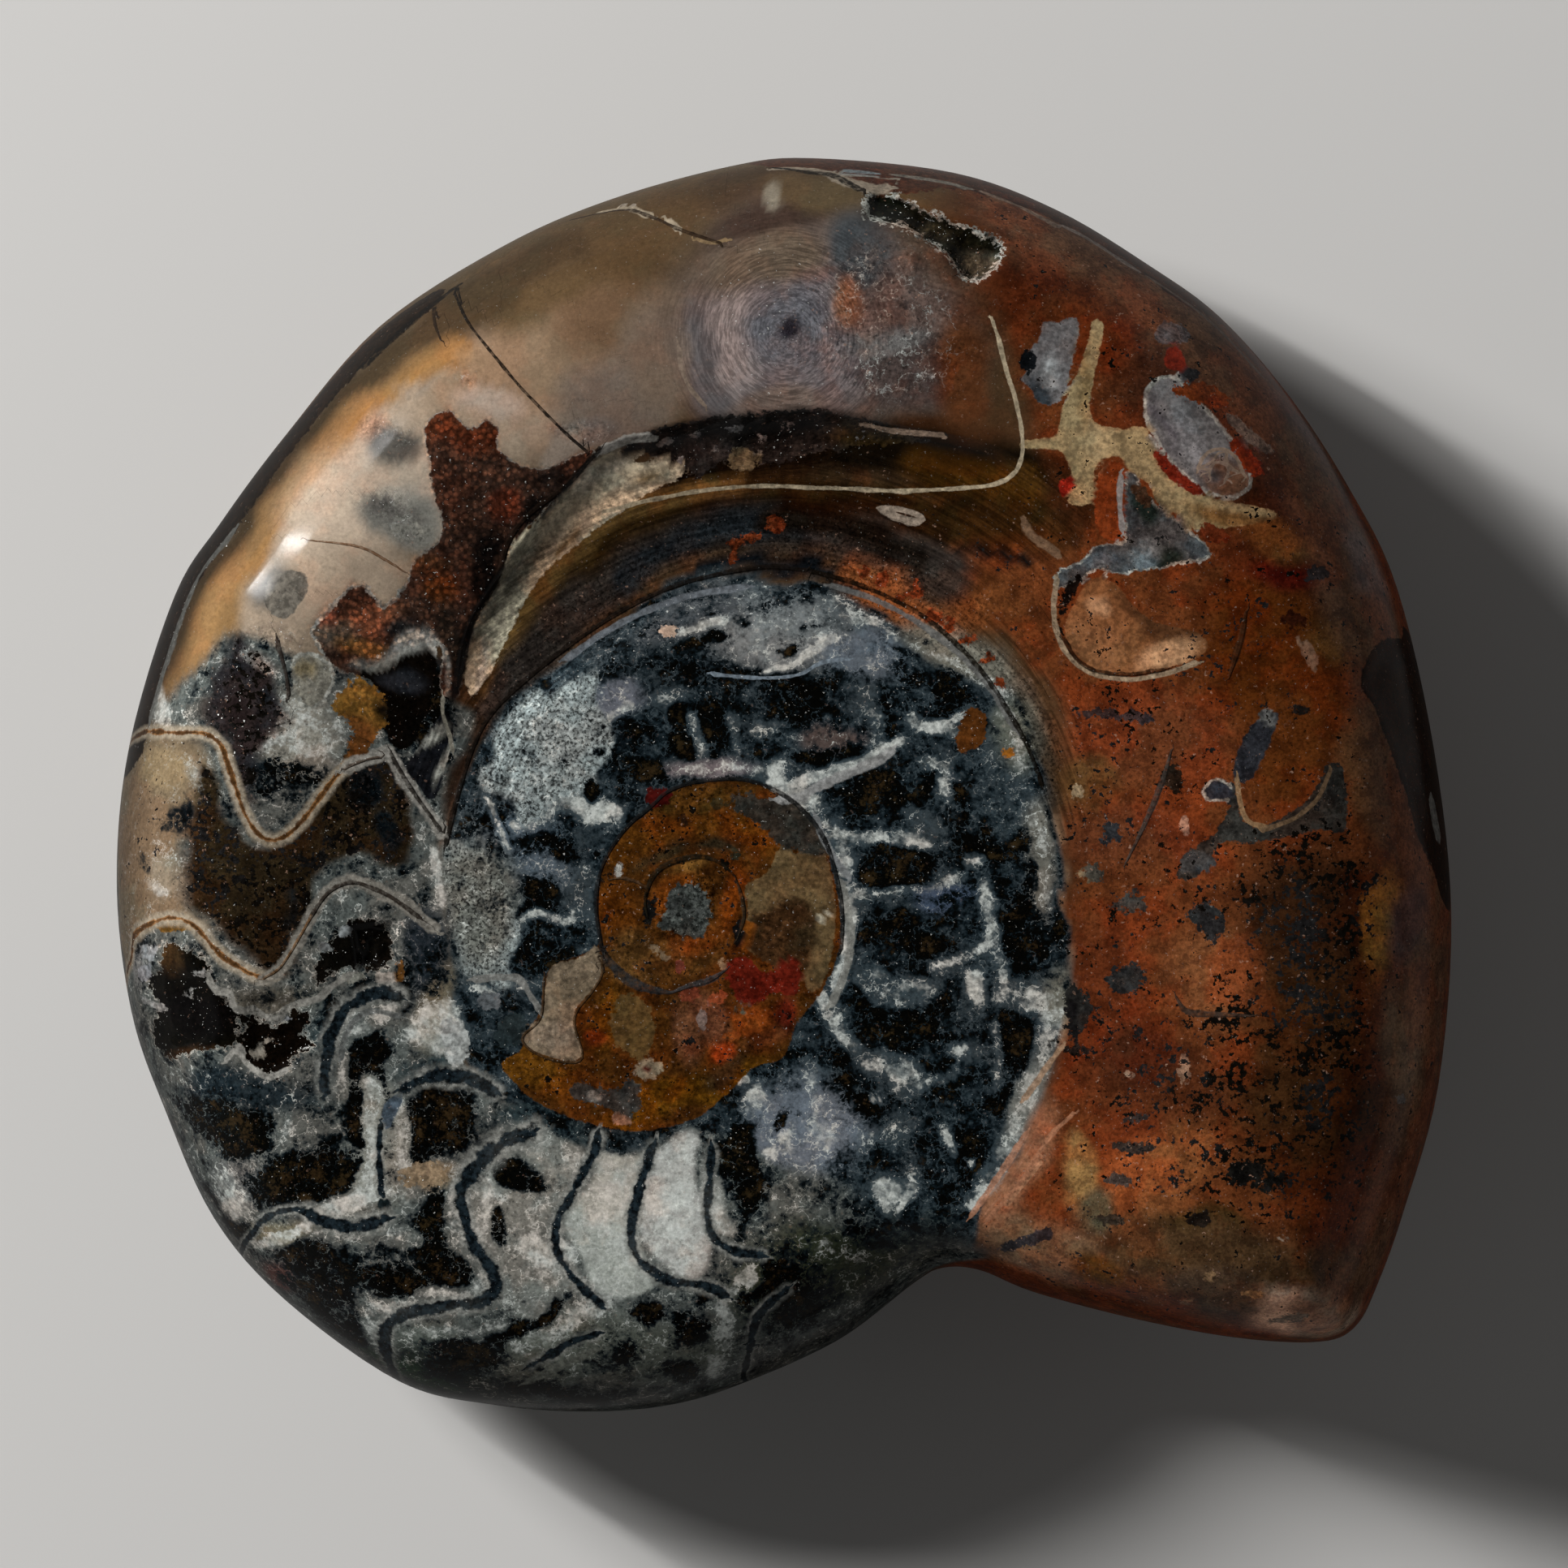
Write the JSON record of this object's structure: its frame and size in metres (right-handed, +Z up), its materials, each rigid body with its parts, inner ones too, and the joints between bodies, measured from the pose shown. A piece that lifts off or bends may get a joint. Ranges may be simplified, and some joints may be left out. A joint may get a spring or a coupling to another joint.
{
  "type": "polished goniatite",
  "caption": "Flat-coiled fossil goniatite shell, ground and polished to show its sutures, chamber fillings and inner turns, lying on a small ground flat.",
  "frame": {"origin": "middle of the outline, on the flat that the shell rests on", "axes": "+Z up through the shell's thickness, out of the polished face; +X across the shell, from the chambered side of the coil to the side of the living chamber"},
  "size_m": [0.0822, 0.0772, 0.0238],
  "materials": {
    "polished_fossil": "polished"
  },
  "bodies": {
    "root": {"goniatite": "polished_fossil"}
  },
  "joints": []
}
